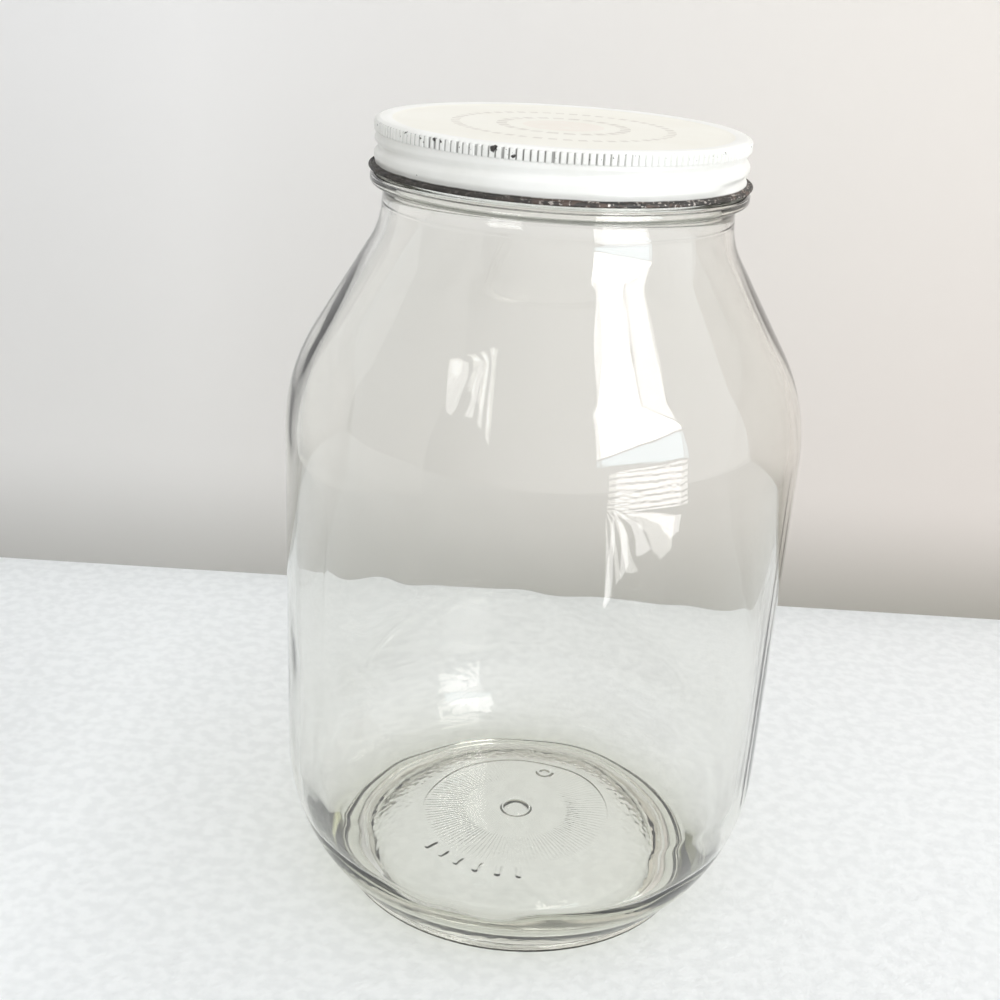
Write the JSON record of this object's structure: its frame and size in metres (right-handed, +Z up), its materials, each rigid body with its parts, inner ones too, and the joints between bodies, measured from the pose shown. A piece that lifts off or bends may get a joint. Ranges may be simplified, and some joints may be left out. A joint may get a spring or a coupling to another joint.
{
  "type": "mayonnaise jar",
  "caption": "Empty wide-mouth glass gallon jar with sloping shoulders and a rounded heel, shut by a white enamelled metal screw lid with a fluted edge and a curled rim.",
  "frame": {"origin": "centre of the underside, on the plane the jar stands on", "axes": "+Z up along the jar's axis, through the middle of the lid; -Y towards the side the picture shows"},
  "size_m": [0.163, 0.163, 0.252],
  "materials": {
    "clear_glass": "clear, smooth, faintly grey-green where it is thick",
    "white_enamel": "semi-gloss white enamel, chipped at the flutes, bare at the curled rim"
  },
  "bodies": {
    "root": {"glass_jar": "clear_glass", "screw_lid": "white_enamel"}
  },
  "joints": []
}
